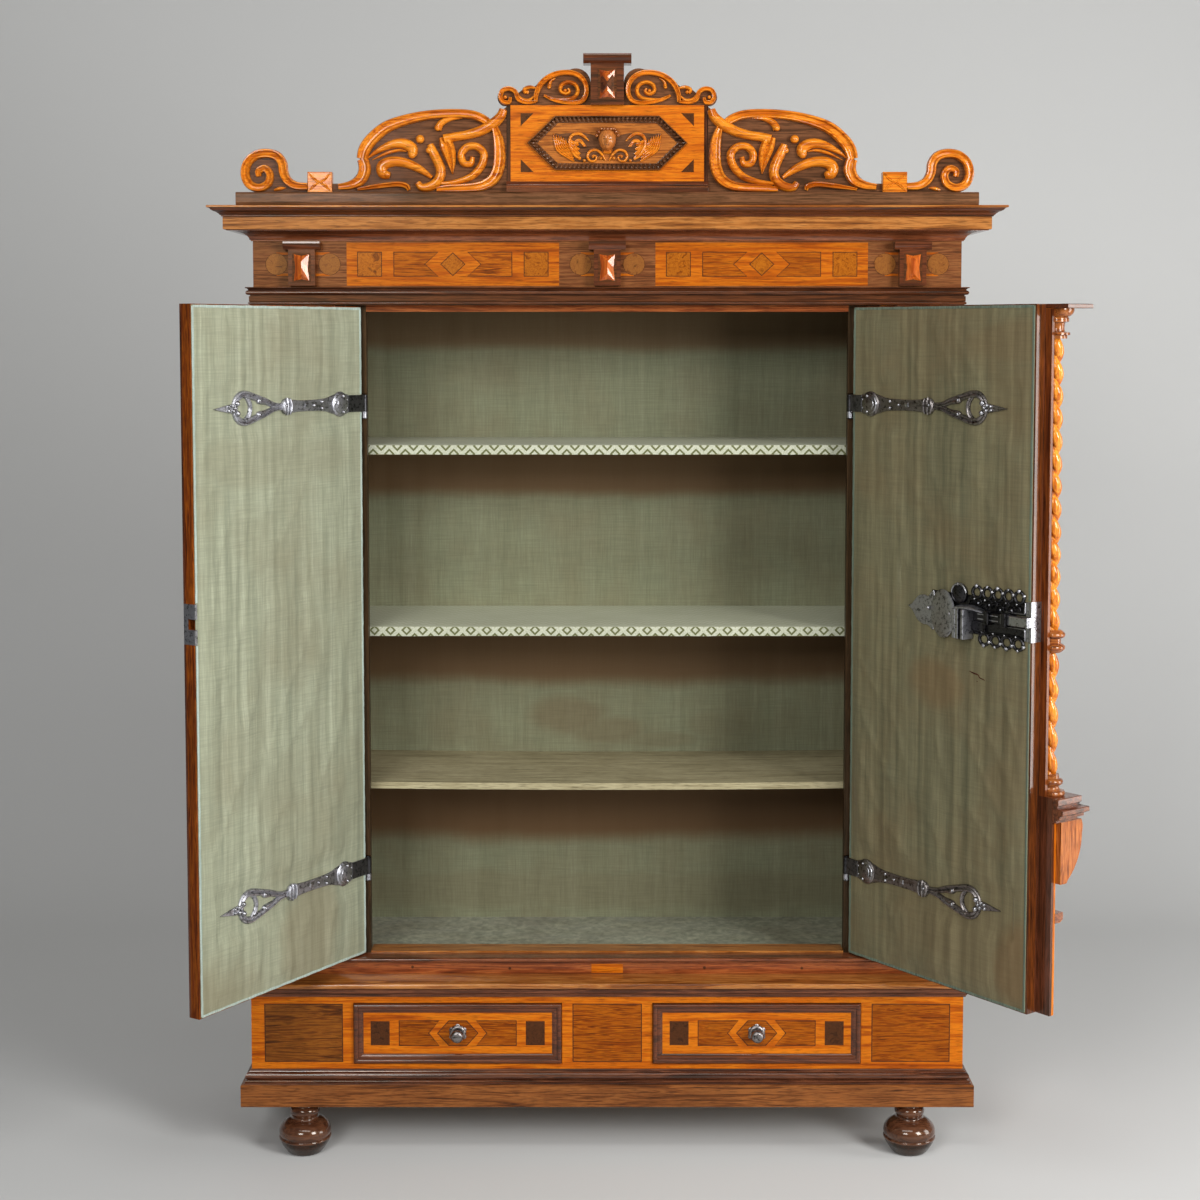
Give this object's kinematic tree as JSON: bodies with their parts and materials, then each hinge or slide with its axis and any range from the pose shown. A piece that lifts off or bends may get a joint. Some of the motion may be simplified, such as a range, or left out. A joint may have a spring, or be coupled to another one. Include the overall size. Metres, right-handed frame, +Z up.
{
  "type": "cupboard",
  "caption": "Tall two-door cabinet with inlaid base drawers, twisted columns, carved scroll pediment, iron hinges and fabric-lined shelves.",
  "frame": {"origin": "middle of the flat back at floor level", "axes": "+X to the right seen from the front, +Y to the back wall, +Z up"},
  "size_m": [1.8342, 0.8771, 2.424],
  "materials": {
    "foot_left": "shellac polish",
    "foot_right": "shellac polish",
    "plinth": "shellac polish",
    "base_front_frame": "shellac polish",
    "base_sides": "shellac polish",
    "base_back": "shellac polish",
    "drawer_guides": "shellac polish",
    "base_top": "shellac polish",
    "carcass_floor": "shellac polish",
    "carcass_side_left": "shellac polish",
    "carcass_side_right": "shellac polish",
    "carcass_back": "shellac polish",
    "carcass_top": "shellac polish",
    "front_stile_left": "shellac polish",
    "front_stile_right": "shellac polish",
    "top_rail": "shellac polish",
    "sill": "shellac polish",
    "ledge_moulding": "shellac polish",
    "pilasters": "shellac polish",
    "frieze": "shellac polish",
    "frieze_consoles": "shellac polish",
    "console_points": "shellac polish",
    "architrave": "shellac polish",
    "cornice": "shellac polish",
    "pediment_ledge": "shellac polish",
    "pediment_panel": "shellac polish",
    "hexagon_frame": "shellac polish",
    "cherub_relief": "shellac polish",
    "scroll_left": "shellac polish",
    "scroll_right": "shellac polish",
    "crest_scrolls": "shellac polish",
    "crest_block": "shellac polish",
    "shelf_cleats": "shellac polish",
    "shelf_upper": "shellac polish",
    "shelf_middle": "shellac polish",
    "shelf_lower": "shellac polish",
    "shelf_cover_upper": "woven cloth",
    "shelf_cover_middle": "woven cloth",
    "lining_back": "woven cloth",
    "lining_floor": "woven cloth",
    "column_left": "shellac polish",
    "column_right": "shellac polish",
    "hinge_hooks": "worn forged iron, waxed",
    "door_left_leaf": "shellac polish",
    "door_left_face": "shellac polish",
    "door_left_lining": "woven cloth",
    "door_left_irons": "worn forged iron, waxed",
    "door_right_leaf": "shellac polish",
    "door_right_face": "shellac polish",
    "door_right_lining": "woven cloth",
    "door_right_straps": "worn forged iron, waxed",
    "astragal": "shellac polish",
    "column_door": "shellac polish",
    "lock": "worn forged iron, waxed",
    "lock_bolt": "worn forged iron, waxed",
    "drawer_left": "shellac polish",
    "drawer_left_knob": "worn forged iron, waxed",
    "drawer_right": "shellac polish",
    "drawer_right_knob": "worn forged iron, waxed"
  },
  "bodies": {
    "cabinet": {"foot_left": "foot_left", "foot_right": "foot_right", "plinth": "plinth", "base_front_frame": "base_front_frame", "base_sides": "base_sides", "base_back": "base_back", "drawer_guides": "drawer_guides", "base_top": "base_top", "carcass_floor": "carcass_floor", "carcass_side_left": "carcass_side_left", "carcass_side_right": "carcass_side_right", "carcass_back": "carcass_back", "carcass_top": "carcass_top", "front_stile_left": "front_stile_left", "front_stile_right": "front_stile_right", "top_rail": "top_rail", "sill": "sill", "ledge_moulding": "ledge_moulding", "pilasters": "pilasters", "frieze": "frieze", "frieze_consoles": "frieze_consoles", "console_points": "console_points", "architrave": "architrave", "cornice": "cornice", "pediment_ledge": "pediment_ledge", "pediment_panel": "pediment_panel", "hexagon_frame": "hexagon_frame", "cherub_relief": "cherub_relief", "scroll_left": "scroll_left", "scroll_right": "scroll_right", "crest_scrolls": "crest_scrolls", "crest_block": "crest_block", "shelf_cleats": "shelf_cleats", "shelf_upper": "shelf_upper", "shelf_middle": "shelf_middle", "shelf_lower": "shelf_lower", "shelf_cover_upper": "shelf_cover_upper", "shelf_cover_middle": "shelf_cover_middle", "lining_back": "lining_back", "lining_floor": "lining_floor", "column_left": "column_left", "column_right": "column_right", "hinge_hooks": "hinge_hooks"},
    "door_left": {"door_left_leaf": "door_left_leaf", "door_left_face": "door_left_face", "door_left_lining": "door_left_lining", "door_left_irons": "door_left_irons"},
    "door_right": {"door_right_leaf": "door_right_leaf", "door_right_face": "door_right_face", "door_right_lining": "door_right_lining", "door_right_straps": "door_right_straps", "astragal": "astragal", "column_door": "column_door", "lock": "lock"},
    "bolt": {"lock_bolt": "lock_bolt"},
    "drawer_left": {"drawer_left": "drawer_left", "drawer_left_knob": "drawer_left_knob"},
    "drawer_right": {"drawer_right": "drawer_right", "drawer_right_knob": "drawer_right_knob"}
  },
  "joints": [
    {"name": "door_left_hinge", "type": "hinge", "parent": "cabinet", "child": "door_left", "pos_m": [-0.534, -0.422, 1.154], "axis": [0, 0, 1], "range_deg": [-6, 122.5]},
    {"name": "door_right_hinge", "type": "hinge", "parent": "cabinet", "child": "door_right", "pos_m": [0.534, -0.422, 1.154], "axis": [0, 0, 1], "range_deg": [-127, 0]},
    {"name": "bolt_slide", "type": "slide", "parent": "door_right", "child": "bolt", "axis": [0.6018, -0.7986, 0], "range_m": [0, 0.016]},
    {"name": "drawer_left_slide", "type": "slide", "parent": "cabinet", "child": "drawer_left", "axis": [0, -1, 0], "range_m": [0, 0.28]},
    {"name": "drawer_right_slide", "type": "slide", "parent": "cabinet", "child": "drawer_right", "axis": [0, -1, 0], "range_m": [0, 0.28]}
  ]
}
